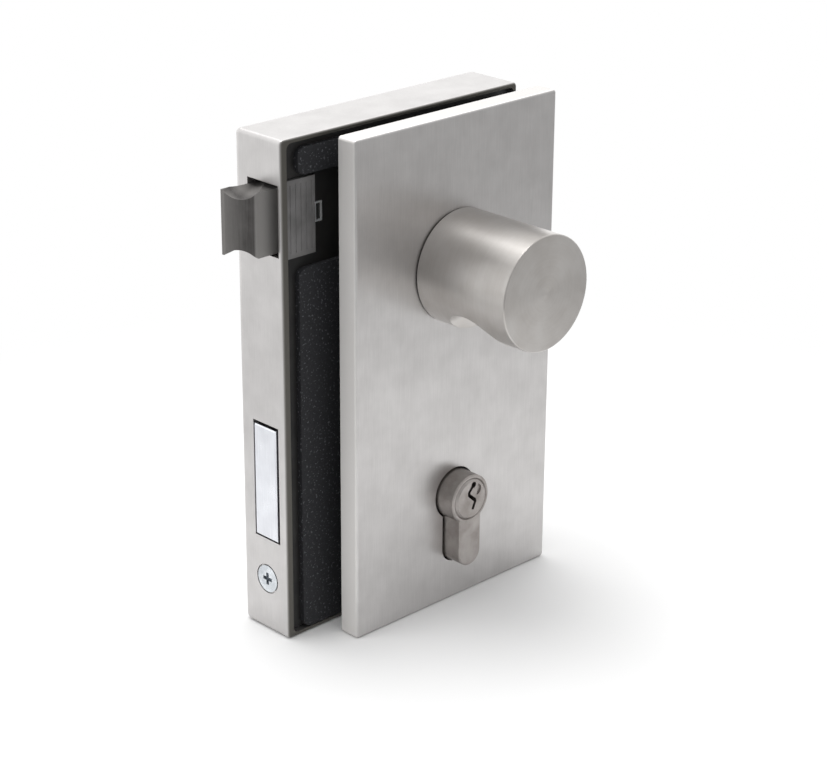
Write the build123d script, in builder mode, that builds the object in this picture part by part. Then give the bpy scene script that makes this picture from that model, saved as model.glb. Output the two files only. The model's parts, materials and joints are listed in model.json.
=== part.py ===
from build123d import *
from math import atan2, cos, hypot, radians, sin, sqrt, tan
import os

os.makedirs("parts", exist_ok=True)

# Vertical centre lock for a glass door, in millimetres
# X runs along the door with the latch towards -X, the knob looks towards -Y, and Z is up.
# The origin is the follower's axis, in the middle of the glass.

# Glass and the two halves that clamp it
glass_thickness = 8.0
half_height = 170.0
axis_to_top = 50.0
backset = 61.5
case_width = 104.0
case_depth = 22.5
forend_wall = 2.5
case_wall = 1.5
case_back_wall = 2.0
case_back_radius = 3.0
case_side_radius = 1.5
case_rim_radius = 0.8
case_mouth_radius = 2.0
cover_width = 90.0
cover_depth = 7.5
cover_wall = 2.0
cover_edge_radius = 0.9
cover_corner_radius = 1.2

# Plates and gaskets behind the visible rims
carrier_recess = 2.0
carrier_thickness = 1.5
carrier_gap = 0.3
case_gasket_left_inset = 4.5
case_gasket_right_inset = 3.5
case_gasket_top_inset = 2.3
case_gasket_bottom_inset = 0.3
lower_gasket_drop = 4.0
upper_gasket_height = 8.7
gasket_radius = 3.0
counter_gap = 0.3
counter_thickness = 4.0
cover_gasket_inset = 1.2

# Mechanism plane, measured behind the glass
mechanism_depth = 10.0

# Latch
latch_height = 21.1
latch_thickness = 10.9
latch_above_axis = 23.2
latch_projection = 11.0
latch_nose = 1.7
latch_bevel_run = 4.1
latch_shoulder_radius = 1.6
latch_tail_inside = 15.0
cove_radius = 8.3
cove_depth = 2.4
tail_height = 7.0
tail_thickness = 6.0
tail_above_finger = 1.0
lug_width = 5.0
spring_wire = 0.8
spring_diameter = 7.0
spring_turns = 9
spring_gap = 0.15
rod_radius = 1.75
rod_in_latch = 6.0
rod_past_block = 1.0
spring_block_width = 5.0
spring_block_x = -17.5
spring_block_margin = 0.5
spring_block_hub_gap = 0.8
spring_block_tail_gap = 0.6

# Forend openings round the latch and the deadbolt
latch_hole_side_gap = 3.1
latch_hole_top_gap = 1.7
latch_hole_bottom_gap = 0.5
bolt_hole_side_gap = 1.5
bolt_hole_top_gap = 1.4
slide_gap = 0.3

# Latch guide with its ribbed front
guide_length = 12.0
guide_floor_wall = 1.6
guide_top_wall = 0.8
guide_front_wall = 1.4
guide_recess = 1.0
rib_pitch = 2.2
rib_groove = 0.6
rib_depth = 0.15
clip_above_axis = 23.9
clip_width = 3.0
clip_height = 6.4
clip_wire = 0.5

# Follower, spindle and bushes
hub_radius = 12.0
journal_radius = 9.0
finger_arm = 18.0
finger_radius = 3.0
spindle_side = 8.0
spindle_gap = 0.05
spindle_chamfer = 0.6
journal_recess = 0.4
running_gap = 0.05
bush_wall = 1.5
bush_flange_width = 2.0
bush_flange_thickness = 1.2
spindle_depth_in_follower = 15.0
knob_turn = 35.0

# Knob
knob_radius = 19.1
knob_length = 38.35
knob_gap = 0.35
knob_edge_chamfer = 0.3
thumb_scoop_radius = 11.0
thumb_scoop_depth = 10.5
neck_radius = 10.0
bearing_wall = 2.0
bearing_flange_width = 2.0
bearing_flange_thickness = 1.0
ring_thickness = 1.0
ring_groove_depth = 0.6
ring_height = 1.6
ring_mouth = 6.0
neck_lip = 0.8
washer_thickness = 0.4
washer_radius = 17.0
spindle_depth_in_knob = 24.0
grub_radius = 2.0
grub_length = 8.0
grub_from_base = 4.0
grub_hex = 2.0

# Profile cylinder
cylinder_above_bottom = 39.0
profile_radius = 8.5
profile_web = 10.0
profile_height = 33.0
cylinder_front_proud = 7.4
cylinder_back_half = 27.0
plug_radius = 6.5
plug_head_radius = 7.1
plug_head_thickness = 1.2
plug_proud = 0.5
plug_edge_chamfer = 0.7
plug_mouth_chamfer = 0.25
profile_edge_chamfer = 0.4
cutout_gap = 0.7
cam_width = 9.0
cam_radius = 15.0
cam_ring_radius = 7.5
cam_bore_radius = 3.0
cam_tooth_width = 6.0
tooth_under_tail = 0.25
talon_clearance = 0.5
key_turn = 64.0
keyway_width = 1.2
keyway_bend = 0.8
keyway_path = [(0.9, 5.1), (-1.2, 2.9), (-1.2, 1.8), (1.8, -0.8), (0.5, -3.8)]
keyway_eye_radius = 1.1
key_stop_radius = 2.0
key_stop_depth = 0.6
key_stop_place = (2.4, 3.0)
pin_count = 5
pin_pitch = 3.5
pin_radius = 1.45
pin_from_end = 4.8
key_pin_length = 3.6
shear_gap = 0.05
driver_pin_length = 5.0
pin_bore_floor = 1.5
pin_spring_wire = 0.4
pin_spring_turns = 5
plug_clip_thickness = 0.8
plug_clip_height = 0.9
plug_clip_groove = 0.6
plug_clip_mouth = 4.0
clip_side_gap = 0.3
retaining_screw_below = 20.3
retaining_screw_radius = 2.5
retaining_head_radius = 4.7
retaining_ring_gap = 0.5
retaining_ring_depth = 0.8
retaining_screw_reach = 4.5
retaining_cross_radius = 2.15

# Deadbolt
bolt_thickness = 10.5
bolt_height = 39.3
bolt_above_cylinder = 33.9
bolt_block_length = 37.5
bolt_throw = 15.5
tail_web_clearance = 0.7
slot_pin_radius = 2.5
slot_pin_x = -9.0
slot_pin_below_bolt_top = 7.0
tail_end_wall = 4.5
bolt_chamfer = 0.4
leaf_thickness = 0.6
leaf_width = 7.0
leaf_length = 22.0
leaf_rise = 3.2
leaf_post_radius = 2.0
leaf_post_inset = 1.5
leaf_from_forend = 5.0
bolt_pad_margin = 8.0

# Fasteners
carrier_screw_radius = 1.5
carrier_head_radius = 2.75
carrier_screw_length = 7.0
carrier_cross_radius = 1.35
carrier_boss_radius = 3.5
carrier_boss_inset = 0.5
clamp_screw_radius = 2.5
clamp_boss_radius = 4.5
clamp_head_radius = 4.7
clamp_screw_grip = 11.0
clamp_cross_radius = 2.0
clamp_sleeve_radius = 3.5
clamp_sleeve_gap = 0.25
clamp_inset_x = 13.75
clamp_above_bottom = 9.5
screw_gap = 0.25
screw_head_land = 0.25
cross_width_share = 0.6
thread_gap = 0.05
drill_past_end = 1.0
cover_screw_radius = 1.5
cover_screw_length = 5.0
cover_screw_spacing = 40.0
cover_screw_recess = 0.3

# Places that follow from the sizes above
case_front = glass_thickness / 2
case_rear = case_front + case_depth
case_floor = case_rear - case_back_wall
cover_back = -glass_thickness / 2
cover_front = cover_back - cover_depth
cover_inner = cover_front + cover_wall
top = axis_to_top
bottom = top - half_height
middle_z = (top + bottom) / 2
forend = -backset
forend_inner = forend + forend_wall
case_right = forend + case_width
case_middle_x = (forend + case_right) / 2
carrier_front = case_front + carrier_recess
carrier_rear = carrier_front + carrier_thickness
mechanism_y = case_front + mechanism_depth
counter_front = cover_inner
counter_rear = counter_front + counter_thickness
cover_gasket_thickness = cover_back - counter_rear
case_gasket_left = forend_inner + case_gasket_left_inset
case_gasket_right = case_right - case_wall - case_gasket_right_inset
case_gasket_top = top - case_wall - case_gasket_top_inset
case_gasket_bottom = bottom + case_wall + case_gasket_bottom_inset

latch_back = mechanism_y + latch_thickness / 2
latch_front = mechanism_y - latch_thickness / 2
latch_bottom = latch_above_axis - latch_height / 2
latch_top = latch_above_axis + latch_height / 2
latch_tip = forend - latch_projection
latch_rear = forend_inner + latch_tail_inside
guide_left = forend_inner + slide_gap
guide_right = guide_left + guide_length
guide_bottom = latch_bottom - guide_floor_wall
guide_top = latch_top + latch_hole_top_gap + guide_top_wall
guide_front = case_front + guide_recess
finger_tip = finger_arm + finger_radius
latch_tail_bottom = finger_tip + tail_above_finger
lug_left = finger_radius + slide_gap
lug_right = lug_left + lug_width
lug_bottom = hub_radius + tail_above_finger
spring_z = (lug_bottom + latch_tail_bottom) / 2
spring_block_left = spring_block_x - spring_block_width / 2
spring_block_right = spring_block_x + spring_block_width / 2

cylinder_z = bottom + cylinder_above_bottom
cylinder_front = cover_front - cylinder_front_proud
cylinder_rear = mechanism_y + cylinder_back_half
profile_below = profile_height - profile_radius
cam_front = mechanism_y - cam_width / 2
cam_rear = mechanism_y + cam_width / 2
retaining_screw_z = cylinder_z - retaining_screw_below

half_turn = radians(key_turn / 2)
bolt_top = cylinder_z + bolt_above_cylinder
bolt_bottom = bolt_top - bolt_height
bolt_front = mechanism_y - bolt_thickness / 2
bolt_back = mechanism_y + bolt_thickness / 2
bolt_block_end = forend + bolt_block_length
bolt_tail_bottom = cylinder_z + cam_radius * cos(half_turn) + tooth_under_tail
talon_top = cylinder_z + cam_radius + tail_web_clearance
tooth_corner_x = cam_radius * sin(half_turn) - cam_tooth_width / 2 * cos(half_turn)
tooth_corner_z = cam_radius * cos(half_turn) + cam_tooth_width / 2 * sin(half_turn)
tooth_face_x = tooth_corner_x - (tooth_corner_z + cylinder_z - bolt_tail_bottom) * tan(half_turn)
talon_middle = bolt_throw / 2
talon_half = talon_middle - tooth_face_x + talon_clearance
bolt_tail_end = talon_middle + talon_half + tail_end_wall
slot_z = bolt_top - slot_pin_below_bolt_top
leaf_low = bolt_top + slide_gap
leaf_left = forend_inner + leaf_from_forend
leaf_right = leaf_left + leaf_length
leaf_middle_x = (leaf_left + leaf_right) / 2
leaf_arc_radius = (leaf_length ** 2 / 4 + leaf_rise ** 2) / (2 * leaf_rise)
leaf_post_offset = leaf_length / 2 - leaf_post_inset
leaf_post_drop = sqrt((leaf_arc_radius - leaf_post_radius - running_gap) ** 2 - leaf_post_offset ** 2)
leaf_post_z = leaf_low + leaf_thickness + leaf_arc_radius - leaf_post_drop

latch_hole_front = latch_front - latch_hole_side_gap
latch_hole_back = latch_back + slide_gap
latch_hole_bottom = latch_bottom - latch_hole_bottom_gap
latch_hole_top = latch_top + latch_hole_top_gap
bolt_hole_front = bolt_front - bolt_hole_side_gap
bolt_hole_back = bolt_back + slide_gap
bolt_hole_bottom = bolt_bottom - slide_gap
bolt_hole_top = bolt_top + bolt_hole_top_gap

bush_bore = journal_radius + running_gap
bush_outer = bush_bore + bush_wall
knob_base = cover_front - knob_gap
knob_end = knob_base - knob_length
clamp_x = (case_right + cover_width / 2) / 2 - clamp_inset_x
clamp_high = case_gasket_top - upper_gasket_height / 2
clamp_low = bottom + clamp_above_bottom
clamp_points = [(-clamp_x, clamp_high), (clamp_x, clamp_high), (clamp_x, clamp_low), (-clamp_x, clamp_low)]
carrier_left = case_gasket_left + carrier_boss_radius + carrier_boss_inset
carrier_right = case_gasket_right - carrier_boss_radius - carrier_boss_inset
carrier_points = [
    (carrier_left, clamp_high),
    (carrier_left, (latch_bottom + bolt_top) / 2 - carrier_boss_radius),
    (carrier_left, clamp_low),
    (carrier_right, latch_bottom),
    (carrier_right, bolt_bottom + bolt_height / 2),
]


def at_depth(y):
    # Sketch plane parallel to the glass: its x is X, its y is Z, and it looks towards the knob.
    return Plane.XZ.offset(-y)


def rectangle_between(left, low, right, high):
    # Rectangle given by its sides, in the sketch that is open.
    with Locations(((left + right) / 2, (low + high) / 2)):
        Rectangle(right - left, high - low)


def rounded_between(left, low, right, high, radius):
    with Locations(((left + right) / 2, (low + high) / 2)):
        RectangleRounded(right - left, high - low, radius)


def profile_outline(grow):
    # Euro profile round the cylinder's axis: a circle with a round-ended web hanging below it.
    foot_radius = profile_web / 2 + grow
    foot_z = cylinder_z - profile_below - grow + foot_radius
    with Locations((0, cylinder_z)):
        Circle(profile_radius + grow)
    rectangle_between(-foot_radius, foot_z, foot_radius, cylinder_z)
    with Locations((0, foot_z)):
        Circle(foot_radius)


# Lock case: a shell open towards the glass, whose left wall is the forend
with BuildPart() as lock_case:
    with BuildSketch(at_depth(case_rear)):
        rectangle_between(forend, bottom, case_right, top)
    extrude(amount=case_depth)
    fillet(lock_case.edges().filter_by(Axis.Y), case_side_radius)
    fillet(lock_case.edges().group_by(Axis.Y)[-1], case_back_radius)
    fillet(lock_case.edges().group_by(Axis.Y)[0], case_rim_radius)
    with BuildSketch(at_depth(case_floor)):
        rounded_between(forend_inner, bottom + case_wall, case_right - case_wall, top - case_wall, case_mouth_radius)
    extrude(amount=case_floor - case_front, mode=Mode.SUBTRACT)
    # bosses for the clamp screws and the carrier screws
    with BuildSketch(at_depth(case_floor)):
        with Locations(*clamp_points):
            Circle(clamp_boss_radius)
        with Locations(*carrier_points):
            Circle(carrier_boss_radius)
    extrude(amount=case_floor - carrier_rear)
    # pad behind the deadbolt and posts above its leaf spring
    with BuildSketch(at_depth(case_floor)):
        rectangle_between(forend_inner, bolt_bottom + bolt_pad_margin,
                          bolt_block_end - slide_gap, bolt_top - bolt_pad_margin)
    extrude(amount=case_floor - bolt_back - slide_gap)
    with BuildSketch(at_depth(case_floor)):
        with Locations((leaf_middle_x - leaf_post_offset, leaf_post_z),
                       (leaf_middle_x + leaf_post_offset, leaf_post_z)):
            Circle(leaf_post_radius)
    extrude(amount=case_floor - mechanism_y + leaf_width / 2)
    # openings in the forend
    with BuildSketch(Plane.YZ.offset(forend)):
        rectangle_between(latch_hole_front, latch_hole_bottom, latch_hole_back, latch_hole_top)
        rectangle_between(bolt_hole_front, bolt_hole_bottom, bolt_hole_back, bolt_hole_top)
    extrude(amount=forend_wall, mode=Mode.SUBTRACT)
    with Locations(Plane(origin=(forend, mechanism_y, retaining_screw_z), z_dir=(-1, 0, 0))):
        CounterSinkHole(
            retaining_screw_radius + screw_gap, retaining_head_radius + screw_gap,
            depth=forend_wall, counter_sink_angle=90,
        )
    with BuildSketch(Plane.YZ.offset(forend)):
        with Locations((mechanism_y, retaining_screw_z)):
            Circle(retaining_head_radius + retaining_ring_gap)
    extrude(amount=retaining_ring_depth, mode=Mode.SUBTRACT)
    # openings in the back wall for the rear bush and the cylinder
    with BuildSketch(at_depth(case_rear)):
        Circle(bush_outer)
        profile_outline(cutout_gap)
    extrude(amount=case_back_wall, mode=Mode.SUBTRACT)
    # tapped holes in the bosses
    with BuildSketch(at_depth(carrier_rear)):
        with Locations(*carrier_points):
            Circle(carrier_screw_radius + thread_gap)
    extrude(amount=-(carrier_screw_length - carrier_thickness + drill_past_end), mode=Mode.SUBTRACT)
    with BuildSketch(at_depth(carrier_rear)):
        with Locations(*clamp_points):
            Circle(clamp_screw_radius + thread_gap)
    extrude(amount=-(clamp_screw_grip + drill_past_end), mode=Mode.SUBTRACT)
lock_case.part.label = "lock_case"
export_step(lock_case.part, "parts/lock_case.step")


# Carrier plate that closes the case behind the gaskets
with BuildPart() as carrier_plate:
    with BuildSketch(at_depth(carrier_rear)):
        rounded_between(
            forend_inner + carrier_gap, bottom + case_wall + carrier_gap,
            case_right - case_wall - carrier_gap, top - case_wall - carrier_gap, case_mouth_radius - carrier_gap,
        )
    extrude(amount=carrier_thickness)
    with BuildSketch(at_depth(carrier_rear)):
        rectangle_between(forend_inner, guide_bottom - carrier_gap,
                          guide_right + carrier_gap, guide_top + carrier_gap)
        Circle(bush_outer)
        profile_outline(cutout_gap)
        with Locations(*clamp_points):
            Circle(clamp_screw_radius + screw_gap)
    extrude(amount=carrier_thickness, mode=Mode.SUBTRACT)
    with Locations(*[Plane(origin=(x, carrier_front, z), z_dir=(0, -1, 0)) for x, z in carrier_points]):
        CounterSinkHole(
            carrier_screw_radius + screw_gap, carrier_head_radius + screw_gap,
            depth=carrier_thickness, counter_sink_angle=90,
        )
carrier_plate.part.label = "carrier_plate"
export_step(carrier_plate.part, "parts/carrier_plate.step")


def countersunk_screw(radius, head_radius, length, recess_radius):
    # Profile of a countersunk cross-recess screw about +Z, its head face at Z = 0, as a private part.
    head_height = head_radius - radius
    with BuildPart(mode=Mode.PRIVATE) as screw:
        with BuildSketch(Plane.XZ):
            with BuildLine():
                Polyline(
                    (0, 0), (head_radius, 0), (head_radius, -screw_head_land),
                    (radius, -screw_head_land - head_height), (radius, -length), (0, -length), close=True,
                )
            make_face()
        revolve(axis=Axis.Z)
        with BuildSketch(Plane.XY):
            Rectangle(2 * recess_radius, cross_width_share * recess_radius)
            Rectangle(cross_width_share * recess_radius, 2 * recess_radius)
        extrude(amount=-head_height, mode=Mode.SUBTRACT)
    return screw.part


carrier_screw = countersunk_screw(carrier_screw_radius, carrier_head_radius,
                                  carrier_screw_length, carrier_cross_radius)
with BuildPart() as carrier_screws:
    with Locations(*[Plane(origin=(x, carrier_front, z), z_dir=(0, -1, 0)) for x, z in carrier_points]):
        add(carrier_screw)
carrier_screws.part.label = "carrier_screws"
export_step(carrier_screws.part, "parts/carrier_screws.step")


# Gasket pads on the carrier plate, flush with the case's rim
with BuildPart() as case_gasket_upper:
    with BuildSketch(at_depth(carrier_front)):
        rounded_between(case_gasket_left, case_gasket_top - upper_gasket_height,
                        case_gasket_right, case_gasket_top, gasket_radius)
        with Locations(*clamp_points[:2]):
            Circle(clamp_sleeve_radius + clamp_sleeve_gap, mode=Mode.SUBTRACT)
    extrude(amount=carrier_recess)
case_gasket_upper.part.label = "case_gasket_upper"
export_step(case_gasket_upper.part, "parts/case_gasket_upper.step")

lower_gasket_top = guide_bottom - lower_gasket_drop
with BuildPart() as case_gasket_lower:
    with BuildSketch(at_depth(carrier_front)):
        rounded_between(case_gasket_left, case_gasket_bottom, case_gasket_right, lower_gasket_top, gasket_radius)
    extrude(amount=carrier_recess)
    with BuildSketch(at_depth(carrier_front)):
        Circle(bush_outer + bush_flange_width)
        profile_outline(2 * cutout_gap)
        with Locations(*clamp_points[2:]):
            Circle(clamp_sleeve_radius + clamp_sleeve_gap)
    extrude(amount=carrier_recess, mode=Mode.SUBTRACT)
case_gasket_lower.part.label = "case_gasket_lower"
export_step(case_gasket_lower.part, "parts/case_gasket_lower.step")


# Latch guide: a channel round the latch, with a ribbed front that shows in the gap
with BuildPart() as latch_guide:
    with BuildSketch(Plane.YZ.offset(guide_left)):
        rectangle_between(guide_front, guide_bottom, case_floor, guide_top)
    extrude(amount=guide_length)
    with BuildSketch(Plane.YZ.offset(guide_left)):
        rectangle_between(guide_front + guide_front_wall, latch_bottom - slide_gap,
                          latch_back + slide_gap, latch_top + slide_gap)
    extrude(amount=guide_length, mode=Mode.SUBTRACT)
    rib_count = int((guide_length - rib_groove) / rib_pitch)
    with BuildSketch(at_depth(guide_front + rib_depth)):
        with Locations(((guide_left + guide_right) / 2, (guide_bottom + guide_top) / 2)):
            with GridLocations(rib_pitch, 1, rib_count, 1):
                Rectangle(rib_groove, guide_top - guide_bottom - 2 * guide_floor_wall)
    extrude(amount=rib_depth, mode=Mode.SUBTRACT)
latch_guide.part.label = "latch_guide"
export_step(latch_guide.part, "parts/latch_guide.step")


# Spring clip that holds the guide to the carrier plate
clip_left = guide_right + carrier_gap
clip_right = clip_left + clip_width
clip_bottom = clip_above_axis - clip_height / 2
clip_top = clip_above_axis + clip_height / 2
with BuildPart() as guide_clip:
    with BuildSketch(at_depth(carrier_front)):
        rectangle_between(clip_left, clip_bottom, clip_right, clip_top)
    extrude(amount=clip_wire)
    with BuildSketch(at_depth(carrier_front)):
        rectangle_between(clip_left + clip_wire, clip_bottom + clip_wire,
                          clip_right - clip_wire, clip_top - clip_wire)
    extrude(amount=clip_wire, mode=Mode.SUBTRACT)
guide_clip.part.label = "guide_clip"
export_step(guide_clip.part, "parts/guide_clip.step")


# Latch bolt: bevelled head with coved top and bottom, and a tail over the follower's finger
shoulder_x = latch_tip + latch_bevel_run
with BuildPart() as latch_bolt:
    with BuildSketch(Plane.XY.offset(latch_bottom)):
        with BuildLine():
            Polyline(
                (latch_rear, latch_back), (latch_tip, latch_back), (latch_tip, latch_back - latch_nose),
                (shoulder_x, latch_front), (latch_rear, latch_front), close=True,
            )
        make_face()
    extrude(amount=latch_height)
    shoulder = latch_bolt.edges().filter_by(Axis.Z).sort_by_distance((shoulder_x, latch_front, latch_above_axis))[0]
    fillet(shoulder, latch_shoulder_radius)
    # coves run inwards square to the bevel and fade out towards the back face
    bevel_y = latch_front - (latch_back - latch_nose)
    bevel_length = hypot(latch_bevel_run, bevel_y)
    inward = (-bevel_y / bevel_length, latch_bevel_run / bevel_length)
    bevel_middle = (latch_tip + latch_bevel_run / 2, (latch_front + latch_back - latch_nose) / 2)
    fade_length = (latch_back - bevel_middle[1]) / inward[1]
    tilt = atan2(cove_depth, fade_length)
    for side in (-1, 1):
        centre = (
            bevel_middle[0] - inward[0] * cove_radius * sin(tilt),
            bevel_middle[1] - inward[1] * cove_radius * sin(tilt),
            latch_above_axis + side * (latch_height / 2 - cove_depth + cove_radius * cos(tilt)),
        )
        direction = (inward[0] * cos(tilt), inward[1] * cos(tilt), side * sin(tilt))
        with BuildSketch(Plane(origin=centre, z_dir=direction)):
            Circle(cove_radius)
        extrude(amount=fade_length, both=True, mode=Mode.SUBTRACT)
    # tail bar and lug, driven by the finger
    with BuildSketch(at_depth(mechanism_y + tail_thickness / 2)):
        rectangle_between(latch_rear, latch_tail_bottom, lug_right, latch_tail_bottom + tail_height)
        rectangle_between(lug_left, lug_bottom, lug_right, latch_tail_bottom)
    extrude(amount=tail_thickness)
    # blind hole for the spring rod
    with BuildSketch(Plane.YZ.offset(latch_rear)):
        with Locations((mechanism_y, spring_z)):
            Circle(rod_radius)
    extrude(amount=-rod_in_latch, mode=Mode.SUBTRACT)
latch_bolt.part.label = "latch_bolt"
export_step(latch_bolt.part, "parts/latch_bolt.step")

with BuildPart() as latch_rod:
    with BuildSketch(Plane.YZ.offset(latch_rear - rod_in_latch)):
        with Locations((mechanism_y, spring_z)):
            Circle(rod_radius)
    extrude(amount=spring_block_right + rod_past_block - latch_rear + rod_in_latch)
latch_rod.part.label = "latch_rod"
export_step(latch_rod.part, "parts/latch_rod.step")

# Block on the case floor that the latch spring pushes against and the rod slides through
with BuildPart() as spring_block:
    with BuildSketch(Plane.YZ.offset(spring_block_left)):
        rectangle_between(mechanism_y - spring_diameter / 2 - spring_block_margin, hub_radius + spring_block_hub_gap,
                          case_floor, latch_tail_bottom - spring_block_tail_gap)
    extrude(amount=spring_block_width)
    with BuildSketch(Plane.YZ.offset(spring_block_left)):
        with Locations((mechanism_y, spring_z)):
            Circle(rod_radius + running_gap)
    extrude(amount=spring_block_width, mode=Mode.SUBTRACT)
spring_block.part.label = "spring_block"
export_step(spring_block.part, "parts/spring_block.step")


def coil(length, diameter, wire, turns):
    # Round wire wound along +Z from Z = 0, as a private part.
    pitch = (length - wire) / turns
    radius = (diameter - wire) / 2
    with BuildPart(mode=Mode.PRIVATE) as spring:
        with BuildLine():
            path = Helix(pitch=pitch, height=pitch * turns, radius=radius, center=(0, 0, wire / 2))
        with BuildSketch(Plane(origin=path @ 0, z_dir=path % 0)):
            Circle(wire / 2)
        sweep(path=path, is_frenet=True)
    return spring.part


latch_spring_length = spring_block_left - latch_rear - 2 * spring_gap
latch_coil = coil(latch_spring_length, spring_diameter, spring_wire, spring_turns)
with BuildPart() as latch_spring:
    with Locations(Plane(origin=(latch_rear + spring_gap, mechanism_y, spring_z), z_dir=(1, 0, 0))):
        add(latch_coil)
latch_spring.part.label = "latch_spring"
export_step(latch_spring.part, "parts/latch_spring.step")


# Follower: hub on two journals with a square through hole and a finger that pulls the latch
hub_front = carrier_rear + bush_flange_thickness + slide_gap
hub_rear = case_floor - bush_flange_thickness - slide_gap
journal_front = case_front + journal_recess
journal_rear = case_rear - journal_recess
square_hole = spindle_side + 2 * spindle_gap
with BuildPart() as follower:
    with BuildSketch(at_depth(hub_rear)):
        Circle(hub_radius)
    extrude(amount=hub_rear - hub_front)
    with BuildSketch(at_depth(journal_rear)):
        Circle(journal_radius)
    extrude(amount=journal_rear - journal_front)
    with BuildSketch(at_depth(mechanism_y + tail_thickness / 2)):
        rectangle_between(-finger_radius, 0, finger_radius, finger_arm)
        with Locations((0, finger_arm)):
            Circle(finger_radius)
    extrude(amount=tail_thickness)
    with BuildSketch(at_depth(journal_rear)):
        Rectangle(square_hole, square_hole)
    extrude(amount=journal_rear - journal_front, mode=Mode.SUBTRACT)
follower.part.label = "follower"
export_step(follower.part, "parts/follower.step")

with BuildPart() as follower_bush_front:
    with BuildSketch(at_depth(carrier_rear)):
        Circle(bush_outer)
    extrude(amount=carrier_thickness)
    with BuildSketch(at_depth(carrier_rear + bush_flange_thickness)):
        Circle(bush_outer + bush_flange_width)
    extrude(amount=bush_flange_thickness)
    with BuildSketch(at_depth(carrier_rear + bush_flange_thickness)):
        Circle(bush_bore)
    extrude(amount=carrier_thickness + bush_flange_thickness, mode=Mode.SUBTRACT)
follower_bush_front.part.label = "follower_bush_front"
export_step(follower_bush_front.part, "parts/follower_bush_front.step")

with BuildPart() as follower_bush_rear:
    with BuildSketch(at_depth(case_rear)):
        Circle(bush_outer)
    extrude(amount=case_back_wall)
    with BuildSketch(at_depth(case_floor)):
        Circle(bush_outer + bush_flange_width)
    extrude(amount=bush_flange_thickness)
    with BuildSketch(at_depth(case_rear)):
        Circle(bush_bore)
    extrude(amount=case_back_wall + bush_flange_thickness, mode=Mode.SUBTRACT)
follower_bush_rear.part.label = "follower_bush_rear"
export_step(follower_bush_rear.part, "parts/follower_bush_rear.step")

spindle_rear = journal_front + spindle_depth_in_follower
with BuildPart() as spindle:
    with BuildSketch(at_depth(spindle_rear)):
        Rectangle(spindle_side, spindle_side)
    extrude(amount=spindle_rear - knob_base + spindle_depth_in_knob)
    chamfer(spindle.edges().filter_by(Axis.Y), spindle_chamfer)
spindle.part.label = "spindle"
export_step(spindle.part, "parts/spindle.step")


# Knob: turned steel with a thumb scoop cut across its underside at mid length
scoop_y = (cover_front + knob_end) / 2
scoop_z = -knob_radius + thumb_scoop_depth - thumb_scoop_radius
bearing_radius = neck_radius + running_gap + bearing_wall
bearing_rear = counter_rear + bearing_flange_thickness
ring_front = bearing_rear + slide_gap
ring_rear = ring_front + ring_thickness
neck_end = ring_rear + neck_lip
washer_recess = washer_thickness + slide_gap - knob_gap
with BuildPart() as knob:
    with BuildSketch(at_depth(knob_base)):
        Circle(knob_radius)
    extrude(amount=knob_length)
    chamfer(knob.edges().group_by(Axis.Y)[0], knob_edge_chamfer)
    chamfer(knob.edges().group_by(Axis.Y)[-1], knob_edge_chamfer)
    # recess that takes the washer
    with BuildSketch(at_depth(knob_base)):
        Circle(washer_radius + running_gap)
    extrude(amount=washer_recess, mode=Mode.SUBTRACT)
    with BuildSketch(at_depth(neck_end)):
        Circle(neck_radius)
    extrude(amount=neck_end - knob_base + washer_recess)
    with BuildSketch(Plane.YZ):
        with Locations((scoop_y, scoop_z)):
            Circle(thumb_scoop_radius)
    extrude(amount=knob_radius, both=True, mode=Mode.SUBTRACT)
    with BuildSketch(at_depth(neck_end)):
        Rectangle(square_hole, square_hole)
    extrude(amount=neck_end - knob_base + spindle_depth_in_knob + spindle_gap, mode=Mode.SUBTRACT)
    # groove for the retaining ring
    with BuildSketch(at_depth(ring_rear)):
        Circle(neck_radius)
        Circle(neck_radius - ring_groove_depth, mode=Mode.SUBTRACT)
    extrude(amount=ring_thickness, mode=Mode.SUBTRACT)
    # tapped hole for the grub screw, from below
    with BuildSketch(Plane.XY.offset(-knob_radius)):
        with Locations((0, knob_base - grub_from_base)):
            Circle(grub_radius + thread_gap)
    extrude(amount=knob_radius, mode=Mode.SUBTRACT)
knob.part.label = "knob"
export_step(knob.part, "parts/knob.step")

with BuildPart() as knob_set_screw:
    with BuildSketch(Plane.XY.offset(-spindle_side / 2 - grub_length)):
        with Locations((0, knob_base - grub_from_base)):
            Circle(grub_radius)
    extrude(amount=grub_length)
    with BuildSketch(Plane.XY.offset(-spindle_side / 2 - grub_length)):
        with Locations((0, knob_base - grub_from_base)):
            RegularPolygon(grub_hex / 2, 6, major_radius=False)
    extrude(amount=grub_length / 3, mode=Mode.SUBTRACT)
knob_set_screw.part.label = "knob_set_screw"
export_step(knob_set_screw.part, "parts/knob_set_screw.step")

with BuildPart() as knob_washer:
    with BuildSketch(at_depth(cover_front - slide_gap)):
        Circle(washer_radius)
        Circle(neck_radius + running_gap, mode=Mode.SUBTRACT)
    extrude(amount=washer_thickness)
knob_washer.part.label = "knob_washer"
export_step(knob_washer.part, "parts/knob_washer.step")

with BuildPart() as knob_bearing:
    with BuildSketch(at_depth(counter_rear)):
        Circle(bearing_radius)
    extrude(amount=counter_rear - cover_front)
    with BuildSketch(at_depth(bearing_rear)):
        Circle(bearing_radius + bearing_flange_width)
    extrude(amount=bearing_flange_thickness)
    with BuildSketch(at_depth(bearing_rear)):
        Circle(neck_radius + running_gap)
    extrude(amount=bearing_rear - cover_front, mode=Mode.SUBTRACT)
knob_bearing.part.label = "knob_bearing"
export_step(knob_bearing.part, "parts/knob_bearing.step")

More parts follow.
